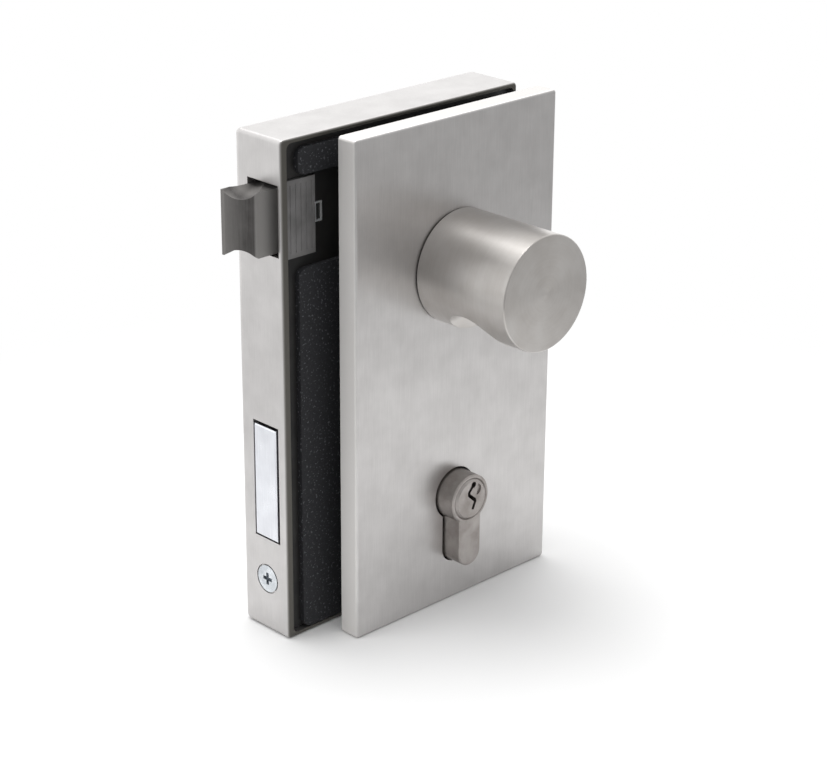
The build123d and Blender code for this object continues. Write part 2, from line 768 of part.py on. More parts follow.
# Open retaining ring behind the bearing
with BuildPart() as knob_retaining_ring:
    with BuildSketch(at_depth(ring_rear)):
        Circle(neck_radius + ring_height)
        Circle(neck_radius - ring_groove_depth, mode=Mode.SUBTRACT)
        with Locations((0, -neck_radius)):
            Rectangle(ring_mouth, 3 * (ring_height + ring_groove_depth), mode=Mode.SUBTRACT)
    extrude(amount=ring_thickness)
knob_retaining_ring.part.label = "knob_retaining_ring"
export_step(knob_retaining_ring.part, "parts/knob_retaining_ring.step")


# Cover side: gasket, counter plate and the brushed cover that hides the clamp screws
counter_left = -cover_width / 2 + cover_wall + counter_gap
counter_bottom = bottom + cover_wall + counter_gap
counter_top = top - cover_wall - counter_gap
counter_middle_y = (counter_front + counter_rear) / 2
cover_screw_points = [(-cover_screw_spacing / 2, counter_middle_y), (cover_screw_spacing / 2, counter_middle_y)]
with BuildPart() as front_cover:
    with BuildSketch(at_depth(cover_back)):
        rectangle_between(-cover_width / 2, bottom, cover_width / 2, top)
    extrude(amount=cover_depth)
    fillet(front_cover.edges().filter_by(Axis.Y), cover_corner_radius)
    fillet(front_cover.edges().group_by(Axis.Y)[0], cover_edge_radius)
    with BuildSketch(at_depth(cover_back)):
        rectangle_between(-cover_width / 2 + cover_wall, bottom + cover_wall,
                          cover_width / 2 - cover_wall, top - cover_wall)
    extrude(amount=cover_back - cover_inner, mode=Mode.SUBTRACT)
    with BuildSketch(at_depth(cover_inner)):
        Circle(bearing_radius)
        profile_outline(cutout_gap)
    extrude(amount=cover_wall, mode=Mode.SUBTRACT)
    with BuildSketch(Plane.XY.offset(bottom)):
        with Locations(*cover_screw_points):
            Circle(cover_screw_radius + thread_gap)
    extrude(amount=cover_wall, mode=Mode.SUBTRACT)
front_cover.part.label = "front_cover"
export_step(front_cover.part, "parts/front_cover.step")

cover_screw_end = bottom + cover_screw_recess + cover_screw_length
with BuildPart() as counter_plate:
    with BuildSketch(at_depth(counter_rear)):
        rectangle_between(counter_left, counter_bottom, -counter_left, counter_top)
        Circle(bearing_radius, mode=Mode.SUBTRACT)
    extrude(amount=counter_thickness)
    with BuildSketch(at_depth(counter_rear)):
        profile_outline(cutout_gap)
    extrude(amount=counter_thickness, mode=Mode.SUBTRACT)
    with Locations(*[Plane(origin=(x, counter_front, z), z_dir=(0, -1, 0)) for x, z in clamp_points]):
        CounterSinkHole(
            clamp_screw_radius + screw_gap, clamp_head_radius + screw_gap,
            depth=counter_thickness, counter_sink_angle=90,
        )
    with BuildSketch(Plane.XY.offset(counter_bottom)):
        with Locations(*cover_screw_points):
            Circle(cover_screw_radius + thread_gap)
    extrude(amount=cover_screw_end - counter_bottom, mode=Mode.SUBTRACT)
counter_plate.part.label = "counter_plate"
export_step(counter_plate.part, "parts/counter_plate.step")

with BuildPart() as cover_screws:
    with BuildSketch(Plane.XY.offset(bottom + cover_screw_recess)):
        with Locations(*cover_screw_points):
            Circle(cover_screw_radius)
    extrude(amount=cover_screw_length)
    with BuildSketch(Plane.XY.offset(bottom + cover_screw_recess)):
        with Locations(*cover_screw_points):
            RegularPolygon(cover_screw_radius / 2, 6, major_radius=False)
    extrude(amount=cover_screw_length / 3, mode=Mode.SUBTRACT)
cover_screws.part.label = "cover_screws"
export_step(cover_screws.part, "parts/cover_screws.step")

with BuildPart() as cover_gasket:
    with BuildSketch(at_depth(cover_back)):
        rounded_between(counter_left + cover_gasket_inset, counter_bottom + cover_gasket_inset,
                        -counter_left - cover_gasket_inset, counter_top - cover_gasket_inset, gasket_radius)
        Circle(bearing_radius + bearing_flange_width + cutout_gap, mode=Mode.SUBTRACT)
        with Locations(*clamp_points):
            Circle(clamp_sleeve_radius + clamp_sleeve_gap, mode=Mode.SUBTRACT)
    extrude(amount=cover_gasket_thickness)
    with BuildSketch(at_depth(cover_back)):
        profile_outline(2 * cutout_gap)
    extrude(amount=cover_gasket_thickness, mode=Mode.SUBTRACT)
cover_gasket.part.label = "cover_gasket"
export_step(cover_gasket.part, "parts/cover_gasket.step")

clamp_screw = countersunk_screw(clamp_screw_radius, clamp_head_radius,
                                carrier_rear - counter_front + clamp_screw_grip, clamp_cross_radius)
with BuildPart() as clamp_screws:
    with Locations(*[Plane(origin=(x, counter_front, z), z_dir=(0, -1, 0)) for x, z in clamp_points]):
        add(clamp_screw)
clamp_screws.part.label = "clamp_screws"
export_step(clamp_screws.part, "parts/clamp_screws.step")

# Distance sleeves that pass through the glass and the pads and keep the two plates apart
with BuildPart() as clamp_sleeves:
    with BuildSketch(at_depth(carrier_front)):
        with Locations(*clamp_points):
            Circle(clamp_sleeve_radius)
            Circle(clamp_screw_radius + screw_gap, mode=Mode.SUBTRACT)
    extrude(amount=carrier_front - counter_rear)
clamp_sleeves.part.label = "clamp_sleeves"
export_step(clamp_sleeves.part, "parts/clamp_sleeves.step")


# Deadbolt: block behind the forend, tail with the talon over the cylinder and a guide slot
with BuildPart() as deadbolt:
    with BuildSketch(at_depth(bolt_back)):
        rectangle_between(forend, bolt_bottom, bolt_block_end, bolt_top)
        rectangle_between(bolt_block_end, bolt_tail_bottom, bolt_tail_end, bolt_top)
    extrude(amount=bolt_thickness)
    with BuildSketch(at_depth(bolt_back)):
        rectangle_between(talon_middle - talon_half, bolt_tail_bottom, talon_middle + talon_half, talon_top)
        with Locations((slot_pin_x + bolt_throw / 2, slot_z)):
            SlotCenterToCenter(bolt_throw, 2 * (slot_pin_radius + slide_gap))
    extrude(amount=bolt_thickness, mode=Mode.SUBTRACT)
    chamfer(deadbolt.edges().group_by(Axis.X)[0], bolt_chamfer)
deadbolt.part.label = "deadbolt"
export_step(deadbolt.part, "parts/deadbolt.step")

with BuildPart() as bolt_guide_pin:
    with BuildSketch(at_depth(case_floor)):
        with Locations((slot_pin_x, slot_z)):
            Circle(slot_pin_radius)
    extrude(amount=case_floor - carrier_rear)
bolt_guide_pin.part.label = "bolt_guide_pin"
export_step(bolt_guide_pin.part, "parts/bolt_guide_pin.step")

# Bowed leaf spring that presses on the deadbolt and holds it where the key leaves it
with BuildPart() as bolt_leaf_spring:
    with BuildSketch(at_depth(mechanism_y + leaf_width / 2)):
        with BuildLine():
            low_arc = ThreePointArc((leaf_left, leaf_low + leaf_rise), (leaf_middle_x, leaf_low),
                                    (leaf_right, leaf_low + leaf_rise))
            high_arc = ThreePointArc((leaf_left, leaf_low + leaf_rise + leaf_thickness),
                                     (leaf_middle_x, leaf_low + leaf_thickness),
                                     (leaf_right, leaf_low + leaf_rise + leaf_thickness))
            Line(low_arc @ 0, high_arc @ 0)
            Line(low_arc @ 1, high_arc @ 1)
        make_face()
    extrude(amount=leaf_width)
bolt_leaf_spring.part.label = "bolt_leaf_spring"
export_step(bolt_leaf_spring.part, "parts/bolt_leaf_spring.step")


# Profile cylinder: body with two plug bores, a slot for the cam and rows of pin bores
inner_plug_end = cam_rear + slide_gap
slot_front = cam_front - plug_clip_thickness - 2 * clip_side_gap
slot_rear = inner_plug_end + plug_clip_thickness + 2 * clip_side_gap
head_seat = plug_head_thickness - plug_proud + running_gap
plug_bottom = cylinder_z - plug_radius
key_pin_bottom = cylinder_z - sqrt(plug_radius ** 2 - pin_radius ** 2)
pin_floor = cylinder_z - profile_below + pin_bore_floor
outer_pins_y = [cylinder_front + pin_from_end + i * pin_pitch for i in range(pin_count)]
inner_pins_y = [cylinder_rear - pin_from_end - i * pin_pitch for i in range(pin_count)]
with BuildPart() as cylinder_body:
    with BuildSketch(at_depth(cylinder_rear)):
        profile_outline(0)
    extrude(amount=cylinder_rear - cylinder_front)
    chamfer(cylinder_body.edges().group_by(Axis.Y)[0], profile_edge_chamfer)
    chamfer(cylinder_body.edges().group_by(Axis.Y)[-1], profile_edge_chamfer)
    with BuildSketch(at_depth(slot_rear)):
        rectangle_between(-profile_radius, cylinder_z - cam_radius - cutout_gap,
                          profile_radius, cylinder_z + profile_radius)
    extrude(amount=slot_rear - slot_front, mode=Mode.SUBTRACT)
    with BuildSketch(at_depth(cylinder_rear)):
        with Locations((0, cylinder_z)):
            Circle(plug_radius + running_gap)
    extrude(amount=cylinder_rear - cylinder_front, mode=Mode.SUBTRACT)
    for y in (cylinder_front + head_seat, cylinder_rear):
        with BuildSketch(at_depth(y)):
            with Locations((0, cylinder_z)):
                Circle(plug_head_radius + running_gap)
        extrude(amount=head_seat, mode=Mode.SUBTRACT)
    for end in (0, -1):
        mouth = cylinder_body.edges().filter_by(GeomType.CIRCLE).group_by(Axis.Y)[end]
        chamfer([edge for edge in mouth if edge.radius < profile_radius - profile_edge_chamfer
                 and abs(edge.arc_center.Z - cylinder_z) < running_gap], plug_mouth_chamfer)
    with BuildSketch(Plane.XY.offset(pin_floor)):
        with Locations(*[(0, y) for y in outer_pins_y + inner_pins_y]):
            Circle(pin_radius + running_gap)
    extrude(amount=cylinder_z - pin_floor, mode=Mode.SUBTRACT)
    with BuildSketch(Plane.YZ):
        with Locations((mechanism_y, retaining_screw_z)):
            Circle(retaining_screw_radius + thread_gap)
    extrude(amount=profile_web, both=True, mode=Mode.SUBTRACT)
cylinder_body.part.label = "cylinder_body"
export_step(cylinder_body.part, "parts/cylinder_body.step")


def plug_shape(outer_face, inner_face, pins_y):
    # Plug between its visible face and the cam, with the keyway and its pin bores, as a private part.
    towards_cam = 1 if inner_face > outer_face else -1
    with BuildPart(mode=Mode.PRIVATE) as plug:
        with BuildSketch(at_depth(inner_face)):
            with Locations((0, cylinder_z)):
                Circle(plug_radius)
        extrude(amount=inner_face - outer_face)
        with BuildSketch(at_depth(outer_face)):
            with Locations((0, cylinder_z)):
                Circle(plug_head_radius)
        extrude(amount=-towards_cam * plug_head_thickness)
        rim = plug.edges().filter_by(GeomType.CIRCLE).filter_by_position(
            Axis.Y, outer_face - running_gap, outer_face + running_gap
        )
        chamfer(rim, plug_edge_chamfer)
        with BuildSketch(at_depth(inner_face)):
            with BuildLine():
                FilletPolyline(*[(towards_cam * x, cylinder_z + z) for x, z in keyway_path], radius=keyway_bend)
            trace(line_width=keyway_width)
            with Locations((towards_cam * keyway_path[0][0], cylinder_z + keyway_path[0][1])):
                Circle(keyway_eye_radius)
        extrude(amount=inner_face - outer_face, mode=Mode.SUBTRACT)
        # half-round recess beside the keyway that stops the key's shoulder
        with BuildSketch(at_depth(outer_face)):
            with Locations((towards_cam * key_stop_place[0], cylinder_z + key_stop_place[1])):
                Circle(key_stop_radius)
                with Locations((-towards_cam * key_stop_radius, 0)):
                    Rectangle(2 * key_stop_radius, 2 * key_stop_radius, mode=Mode.SUBTRACT)
        extrude(amount=-towards_cam * key_stop_depth, mode=Mode.SUBTRACT)
        with BuildSketch(Plane.XY.offset(plug_bottom - drill_past_end)):
            with Locations(*[(0, y) for y in pins_y]):
                Circle(pin_radius + running_gap)
        extrude(amount=key_pin_length + drill_past_end + running_gap, mode=Mode.SUBTRACT)
        # groove for the clip
        groove_far = inner_face - towards_cam * clip_side_gap
        with BuildSketch(at_depth(groove_far)):
            with Locations((0, cylinder_z)):
                Circle(plug_radius)
                Circle(plug_radius - plug_clip_groove, mode=Mode.SUBTRACT)
        extrude(amount=towards_cam * plug_clip_thickness, mode=Mode.SUBTRACT)
    return plug.part


outer_plug_shape = plug_shape(cylinder_front - plug_proud, cam_front, outer_pins_y)
with BuildPart() as outer_plug:
    add(outer_plug_shape)
outer_plug.part.label = "outer_plug"
export_step(outer_plug.part, "parts/outer_plug.step")

inner_plug_shape = plug_shape(cylinder_rear + plug_proud, inner_plug_end, inner_pins_y)
with BuildPart() as inner_plug:
    add(inner_plug_shape)
inner_plug.part.label = "inner_plug"
export_step(inner_plug.part, "parts/inner_plug.step")

for name, pins_y in (("outer", outer_pins_y), ("inner", inner_pins_y)):
    with BuildPart() as key_pins:
        with BuildSketch(Plane.XY.offset(key_pin_bottom)):
            with Locations(*[(0, y) for y in pins_y]):
                Circle(pin_radius)
        extrude(amount=plug_bottom + key_pin_length - key_pin_bottom)
    key_pins.part.label = name + "_key_pins"
    export_step(key_pins.part, f"parts/{name}_key_pins.step")

    with BuildPart() as driver_pins:
        with BuildSketch(Plane.XY.offset(plug_bottom - shear_gap)):
            with Locations(*[(0, y) for y in pins_y]):
                Circle(pin_radius)
        extrude(amount=-driver_pin_length)
    driver_pins.part.label = name + "_driver_pins"
    export_step(driver_pins.part, f"parts/{name}_driver_pins.step")

    spring_room = plug_bottom - shear_gap - driver_pin_length - pin_floor - 2 * running_gap
    pin_coil = coil(spring_room, 2 * pin_radius - 2 * running_gap, pin_spring_wire, pin_spring_turns)
    with BuildPart() as pin_springs:
        with Locations(*[(0, y, pin_floor + running_gap) for y in pins_y]):
            add(pin_coil)
    pin_springs.part.label = name + "_pin_springs"
    export_step(pin_springs.part, f"parts/{name}_pin_springs.step")


# Cam between the plugs, set where its tooth starts to push the talon
with BuildPart() as cylinder_cam:
    with BuildSketch(at_depth(cam_rear)):
        with Locations(Location((0, cylinder_z, 0), (0, 0, -key_turn / 2))):
            with Locations((0, cam_radius / 2)):
                Rectangle(cam_tooth_width, cam_radius)
        with Locations((0, cylinder_z)):
            Circle(cam_radius, mode=Mode.INTERSECT)
            Circle(cam_ring_radius)
            Circle(cam_bore_radius, mode=Mode.SUBTRACT)
    extrude(amount=cam_width)
cylinder_cam.part.label = "cylinder_cam"
export_step(cylinder_cam.part, "parts/cylinder_cam.step")

outer_clip_rear = cam_front - clip_side_gap
inner_clip_rear = inner_plug_end + clip_side_gap + plug_clip_thickness
for name, far in (("outer", outer_clip_rear), ("inner", inner_clip_rear)):
    with BuildPart() as plug_clip:
        with BuildSketch(at_depth(far)):
            with Locations((0, cylinder_z)):
                Circle(plug_radius + plug_clip_height)
                Circle(plug_radius - plug_clip_groove, mode=Mode.SUBTRACT)
            with Locations((0, cylinder_z + plug_radius)):
                Rectangle(plug_clip_mouth, 4 * plug_clip_height, mode=Mode.SUBTRACT)
        extrude(amount=plug_clip_thickness)
    plug_clip.part.label = name + "_plug_clip"
    export_step(plug_clip.part, f"parts/{name}_plug_clip.step")

# Long countersunk screw through the forend that holds the cylinder
cylinder_screw_shape = countersunk_screw(retaining_screw_radius, retaining_head_radius,
                                         backset + retaining_screw_reach, retaining_cross_radius)
with BuildPart() as cylinder_screw:
    with Locations(Plane(origin=(forend, mechanism_y, retaining_screw_z), x_dir=(0, 1, 0), z_dir=(-1, 0, 0))):
        add(cylinder_screw_shape)
cylinder_screw.part.label = "cylinder_screw"
export_step(cylinder_screw.part, "parts/cylinder_screw.step")
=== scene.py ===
import json
from math import cos, pi, radians, sin

import bpy
from mathutils import Matrix, Vector


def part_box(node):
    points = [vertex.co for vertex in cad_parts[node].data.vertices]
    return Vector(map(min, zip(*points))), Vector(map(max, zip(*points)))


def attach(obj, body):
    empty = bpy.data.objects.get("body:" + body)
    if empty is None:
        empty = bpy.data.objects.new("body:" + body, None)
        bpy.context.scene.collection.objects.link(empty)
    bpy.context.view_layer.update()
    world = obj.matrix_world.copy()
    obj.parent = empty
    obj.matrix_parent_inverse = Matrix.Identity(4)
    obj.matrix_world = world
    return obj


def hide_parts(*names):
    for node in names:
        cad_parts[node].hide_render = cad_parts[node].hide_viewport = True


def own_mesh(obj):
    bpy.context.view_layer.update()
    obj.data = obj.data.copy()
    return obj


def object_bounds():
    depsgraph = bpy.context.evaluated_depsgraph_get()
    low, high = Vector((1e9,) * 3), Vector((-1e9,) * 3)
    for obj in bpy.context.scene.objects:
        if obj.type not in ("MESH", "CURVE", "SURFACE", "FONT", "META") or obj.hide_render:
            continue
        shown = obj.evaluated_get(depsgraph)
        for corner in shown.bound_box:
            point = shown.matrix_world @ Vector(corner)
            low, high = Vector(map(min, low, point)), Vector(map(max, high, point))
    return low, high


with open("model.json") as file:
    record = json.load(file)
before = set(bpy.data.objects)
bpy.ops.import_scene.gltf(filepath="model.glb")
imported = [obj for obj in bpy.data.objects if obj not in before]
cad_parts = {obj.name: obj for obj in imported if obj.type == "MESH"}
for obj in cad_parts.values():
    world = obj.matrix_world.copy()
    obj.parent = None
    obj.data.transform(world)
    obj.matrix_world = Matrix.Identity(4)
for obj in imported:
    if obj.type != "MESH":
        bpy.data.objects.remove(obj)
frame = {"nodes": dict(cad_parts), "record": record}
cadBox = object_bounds()
nodes = frame["nodes"]
scene = bpy.context.scene
mm = 0.001

# Depths that the bump gives to surfaces, in mm
grooveDepth = 0.02  # grinding and turning lines
grainDepth = 0.05  # blasted, plated, sintered and moulded surfaces
poreDepth = 0.2  # foam rubber

# Where most values of a noise lie, and of two noises added
noiseMiddle = (0.35, 0.65)
sumMiddle = (0.8, 1.2)

# Light spreads across the lines of a metal
quarterTurn = 0.25  # from along the rings of a turned piece to across them
nearlyUp = (0.05, 0, 1)  # crossed with a face's normal; it leans so that level faces get a direction too


# Shared helpers for materials

def linear(hexColour):
    # sRGB hex to the linear values that shaders take
    channels = [int(hexColour[i:i + 2], 16) / 255 for i in (1, 3, 5)]
    return [c / 12.92 if c <= 0.04045 else ((c + 0.055) / 1.055) ** 2.4 for c in channels] + [1.0]


def addNode(tree, kind, settings={}, links={}):
    # settings fill a property, or an input by its name or number; links join an input to an output
    node = tree.nodes.new(kind)
    for key, value in settings.items():
        if isinstance(key, str) and hasattr(node, key):
            setattr(node, key, value)
        else:
            node.inputs[key].default_value = value
    for key, output in links.items():
        tree.links.new(output, node.inputs[key])
    return node


def newMaterial(name, surface):
    # A material with a Principled shader that takes the fixed values in surface
    material = bpy.data.materials.new(name)
    material.use_nodes = True
    tree = material.node_tree
    shader = tree.nodes["Principled BSDF"]
    for key, value in surface.items():
        shader.inputs[key].default_value = value
    return material, tree, shader


def positionInMm(tree):
    # Place on the object in millimetres
    place = addNode(tree, "ShaderNodeTexCoord")
    return addNode(tree, "ShaderNodeVectorMath", {"operation": "SCALE", "Scale": 1 / mm},
                   {0: place.outputs["Object"]})


def grainPlace(tree, grain, across, along):
    # Texture place whose features are across wide and along long, in mm, in the grain's direction
    place = positionInMm(tree)
    if grain == "ring":
        # turned about the Y axis: only the depth and the distance from the axis count
        flat = addNode(tree, "ShaderNodeVectorMath", {"operation": "MULTIPLY", 1: (1, 0, 1)},
                       {0: place.outputs[0]})
        reach = addNode(tree, "ShaderNodeVectorMath", {"operation": "LENGTH"}, {0: flat.outputs[0]})
        parts = addNode(tree, "ShaderNodeSeparateXYZ", {}, {0: place.outputs[0]})
        place = addNode(tree, "ShaderNodeCombineXYZ", {},
                        {"X": reach.outputs["Value"], "Y": parts.outputs["Y"]})
        sizes = (across, across, along)
    else:
        sizes = [along if axis == grain else across for axis in "xyz"]
    return addNode(tree, "ShaderNodeVectorMath",
                   {"operation": "MULTIPLY", 1: [1 / size for size in sizes]}, {0: place.outputs[0]})


def between(low, high, middle=noiseMiddle):
    # Settings of a Map Range that brings the middle range of a noise to low..high
    return {"From Min": middle[0], "From Max": middle[1], "To Min": low, "To Max": high}


def zoneMask(tree, zone):
    # Rises to its share inside a zone with a tone and roughness of its own, some of it painted light and
    # shade: by place in mm, or by where a face points
    if zone["by"] == "place":
        measure = positionInMm(tree).outputs[0]
    else:
        measure = addNode(tree, "ShaderNodeTexCoord").outputs["Normal"]
    parts = addNode(tree, "ShaderNodeSeparateXYZ", {}, {0: measure})
    return addNode(tree, "ShaderNodeMapRange",
                   {"From Min": zone["from"], "From Max": zone["to"], "To Max": zone["share"]},
                   {"Value": parts.outputs[zone["axis"]]})


def brushedMetal(name, finish):
    # Metal with fine grain lines over a soft mottle, which vary its tone and gloss
    turned = finish["grain"] == "ring"
    material, tree, shader = newMaterial(name, {"Metallic": 1.0, "Anisotropic": finish["anisotropy"],
                                                "Anisotropic Rotation": quarterTurn if turned else 0.0})
    grain = grainPlace(tree, finish["grain"], finish["lineWidth"], finish["lineLength"])
    lines = addNode(tree, "ShaderNodeTexNoise", {"Scale": 1.0, "Detail": 3.0}, {"Vector": grain.outputs[0]})
    clouds = addNode(tree, "ShaderNodeTexNoise", {"Scale": 1.0 / finish["cloudSize"], "Detail": 3.0},
                     {"Vector": positionInMm(tree).outputs[0]})
    tone = addNode(tree, "ShaderNodeMix", {0: finish["lineShare"]},
                   {2: clouds.outputs["Fac"], 3: lines.outputs["Fac"]})
    share = addNode(tree, "ShaderNodeMapRange", between(0, 1), {"Value": tone.outputs[0]})
    colour = addNode(tree, "ShaderNodeMix",
                     {"data_type": "RGBA", 6: linear(finish["dark"]), 7: linear(finish["light"])},
                     {0: share.outputs[0]})
    roughness = addNode(tree, "ShaderNodeMapRange",
                        between(finish["roughness"] + finish["roughnessSpread"],
                                finish["roughness"] - finish["roughnessSpread"]),
                        {"Value": tone.outputs[0]})
    edge = addNode(tree, "ShaderNodeBevel", {"samples": 4, "Radius": finish["edge"] * mm})
    bump = addNode(tree, "ShaderNodeBump", {"Strength": finish["lift"], "Distance": grooveDepth * mm},
                   {"Height": lines.outputs["Fac"], "Normal": edge.outputs[0]})
    if turned:
        # round the axis, which the quarter turn above brings across the lines
        tangent = addNode(tree, "ShaderNodeTangent", {"direction_type": "RADIAL", "axis": "Y"})
    else:
        # level on the upright faces, from front to back on the top and the bottom
        facing = addNode(tree, "ShaderNodeNewGeometry")
        tangent = addNode(tree, "ShaderNodeVectorMath", {"operation": "CROSS_PRODUCT", 1: nearlyUp},
                          {0: facing.outputs["Normal"]})
    colourOut, roughnessOut = colour.outputs[2], roughness.outputs[0]
    for zone in finish.get("zones", []):
        mask = zoneMask(tree, zone)
        colourOut = addNode(tree, "ShaderNodeMix", {"data_type": "RGBA", 7: linear(zone["colour"])},
                            {0: mask.outputs[0], 6: colourOut}).outputs[2]
        roughnessOut = addNode(tree, "ShaderNodeMix", {3: zone["roughness"]},
                               {0: mask.outputs[0], 2: roughnessOut}).outputs[0]
    tree.links.new(colourOut, shader.inputs["Base Color"])
    tree.links.new(roughnessOut, shader.inputs["Roughness"])
    tree.links.new(bump.outputs[0], shader.inputs["Normal"])
    tree.links.new(tangent.outputs[0], shader.inputs["Tangent"])
    return material


def grainyMetal(name, finish):
    # Blasted, plated or sintered metal: an even fine grain with faint stains
    material, tree, shader = newMaterial(name, {"Metallic": 1.0})
    place = positionInMm(tree)
    grain = addNode(tree, "ShaderNodeTexNoise", {"Scale": 1.0 / finish["grainSize"], "Detail": 2.0},
                    {"Vector": place.outputs[0]})
    stains = addNode(tree, "ShaderNodeTexNoise", {"Scale": 1.0 / finish["stainSize"], "Detail": 2.0},
                     {"Vector": place.outputs[0]})
    tone = addNode(tree, "ShaderNodeMath", {"operation": "ADD"},
                   {0: grain.outputs["Fac"], 1: stains.outputs["Fac"]})
    share = addNode(tree, "ShaderNodeMapRange", between(0, 1, sumMiddle), {"Value": tone.outputs[0]})
    colour = addNode(tree, "ShaderNodeMix",
                     {"data_type": "RGBA", 6: linear(finish["dark"]), 7: linear(finish["light"])},
                     {0: share.outputs[0]})
    roughness = addNode(tree, "ShaderNodeMapRange",
                        between(finish["roughness"] + finish["roughnessSpread"],
                                finish["roughness"] - finish["roughnessSpread"], sumMiddle),
                        {"Value": tone.outputs[0]})
    edge = addNode(tree, "ShaderNodeBevel", {"samples": 4, "Radius": finish["edge"] * mm})
    bump = addNode(tree, "ShaderNodeBump", {"Strength": finish["lift"], "Distance": grainDepth * mm},
                   {"Height": grain.outputs["Fac"], "Normal": edge.outputs[0]})
    tree.links.new(colour.outputs[2], shader.inputs["Base Color"])
    tree.links.new(roughness.outputs[0], shader.inputs["Roughness"])
    tree.links.new(bump.outputs[0], shader.inputs["Normal"])
    return material


def speckledRubber(name, finish):
    # Black foam rubber with pale specks of dust in its pores
    material, tree, shader = newMaterial(name, {"Roughness": finish["roughness"], "IOR": finish["ior"]})
    place = positionInMm(tree)
    pores = addNode(tree, "ShaderNodeTexNoise", {"Scale": 1.0 / finish["poreSize"], "Detail": 3.0},
                    {"Vector": place.outputs[0]})
    specks = addNode(tree, "ShaderNodeTexNoise", {"Scale": 1.0 / finish["speckSize"], "Detail": 1.0},
                     {"Vector": place.outputs[0]})
    seen = addNode(tree, "ShaderNodeMapRange", between(0, 1, (finish["speckFrom"], finish["speckTo"])),
                   {"Value": specks.outputs["Fac"]})
    ground = addNode(tree, "ShaderNodeMix",
                     {"data_type": "RGBA", 6: linear(finish["dark"]), 7: linear(finish["light"])},
                     {0: pores.outputs["Fac"]})
    colour = addNode(tree, "ShaderNodeMix", {"data_type": "RGBA", 7: linear(finish["speck"])},
                     {0: seen.outputs[0], 6: ground.outputs[2]})
    bump = addNode(tree, "ShaderNodeBump", {"Strength": finish["lift"], "Distance": poreDepth * mm},
                   {"Height": pores.outputs["Fac"]})
    tree.links.new(colour.outputs[2], shader.inputs["Base Color"])
    tree.links.new(bump.outputs[0], shader.inputs["Normal"])
    return material


def mouldedPlastic(name, finish):
    # Moulded or painted part: fine texture and slightly uneven gloss
    material, tree, shader = newMaterial(name, {"IOR": finish["ior"]})
    place = positionInMm(tree)
    grain = addNode(tree, "ShaderNodeTexNoise", {"Scale": 1.0 / finish["grainSize"], "Detail": 2.0},
                    {"Vector": place.outputs[0]})
    clouds = addNode(tree, "ShaderNodeTexNoise", {"Scale": 1.0 / finish["cloudSize"], "Detail": 2.0},
                     {"Vector": place.outputs[0]})
    share = addNode(tree, "ShaderNodeMapRange", between(0, 1), {"Value": clouds.outputs["Fac"]})
    colour = addNode(tree, "ShaderNodeMix",
                     {"data_type": "RGBA", 6: linear(finish["dark"]), 7: linear(finish["light"])},
                     {0: share.outputs[0]})
    roughness = addNode(tree, "ShaderNodeMapRange",
                        between(finish["roughness"] + finish["roughnessSpread"],
                                finish["roughness"] - finish["roughnessSpread"]),
                        {"Value": clouds.outputs["Fac"]})
    bump = addNode(tree, "ShaderNodeBump", {"Strength": finish["lift"], "Distance": grainDepth * mm},
                   {"Height": grain.outputs["Fac"]})
    tree.links.new(colour.outputs[2], shader.inputs["Base Color"])
    tree.links.new(roughness.outputs[0], shader.inputs["Roughness"])
    tree.links.new(bump.outputs[0], shader.inputs["Normal"])
    return material


# Finishes. Widths, lengths, grains, stains, clouds, pores, specks and edges are in mm
# Real grinding lines, turning lines and fine grains are about 0.05 mm wide or less
# They are drawn 0.18 to 0.4 mm wide, as coarse as they need to be to show
# A zone is the part of a piece that has a tone and roughness of its own; some zones hold painted light and
# shade

# Brushed stainless: a satin face, fine upright lines and a faint mottle
plateFinish = {"grain": "z", "lineWidth": 0.3, "lineLength": 9, "lineShare": 0.42, "cloudSize": 8,
               "dark": "#C4C2C1", "light": "#CECCCB", "roughness": 0.38, "roughnessSpread": 0.02,
               "anisotropy": 0.6, "lift": 0.03, "edge": 0.2}
brushedPlate = brushedMetal("brushed_plate", plateFinish)

# The cover's narrow sides are more matt than its face, and their paler tone is a painted highlight
coverFinish = dict(plateFinish, zones=[
    {"by": "facing", "axis": "Y", "from": -0.7, "to": -0.3,
     "colour": "#E6E4E2", "roughness": 0.6, "share": 1.0}])
brushedCover = brushedMetal("brushed_cover", coverFinish)

# The case's rim is duller than its face, and its dark tone is painted shade from the gap beside it
caseFinish = dict(plateFinish, zones=[
    {"by": "place", "axis": "Y", "from": 4.5, "to": 4.0,
     "colour": "#6E6C67", "roughness": 0.55, "share": 1.0}])
brushedCase = brushedMetal("brushed_case", caseFinish)

# Turned stainless of the knob: lines run round it, for the long highlight and the fan on its end, whose
# faint darkening is painted shade
knobFinish = {"grain": "ring", "lineWidth": 0.3, "lineLength": 20, "lineShare": 0.25, "cloudSize": 9,
              "dark": "#B8B4B0", "light": "#C6C3C0", "roughness": 0.3, "roughnessSpread": 0.02,
              "anisotropy": 0.6, "lift": 0.02, "edge": 0.3, "zones": [
                  {"by": "facing", "axis": "Y", "from": -0.9, "to": -1.0,
                   "colour": "#A9A5A2", "roughness": 0.32, "share": 0.1}]}
turnedSteel = brushedMetal("turned_steel", knobFinish)

# Latch head: darker sintered steel with upright grinding lines and little gloss
# Its nose and root are painted paler than the band between them, and its front face paler again: painted
# light and reflection
latchFinish = {"grain": "z", "lineWidth": 0.4, "lineLength": 14, "lineShare": 0.5, "cloudSize": 5,
               "dark": "#565453", "light": "#686665", "roughness": 0.65, "roughnessSpread": 0.04,
               "anisotropy": 0.3, "lift": 0.1, "edge": 0.25, "zones": [
                   {"by": "place", "axis": "X", "from": -69.5, "to": -72.5,
                    "colour": "#8C8A88", "roughness": 0.6, "share": 0.8},
                   {"by": "place", "axis": "X", "from": -69, "to": -66,
                    "colour": "#83817F", "roughness": 0.65, "share": 0.75},
                   {"by": "facing", "axis": "Y", "from": -0.8, "to": -1.0,
                    "colour": "#B4B2B0", "roughness": 0.65, "share": 0.65}]}
latchSteel = brushedMetal("latch_steel", latchFinish)

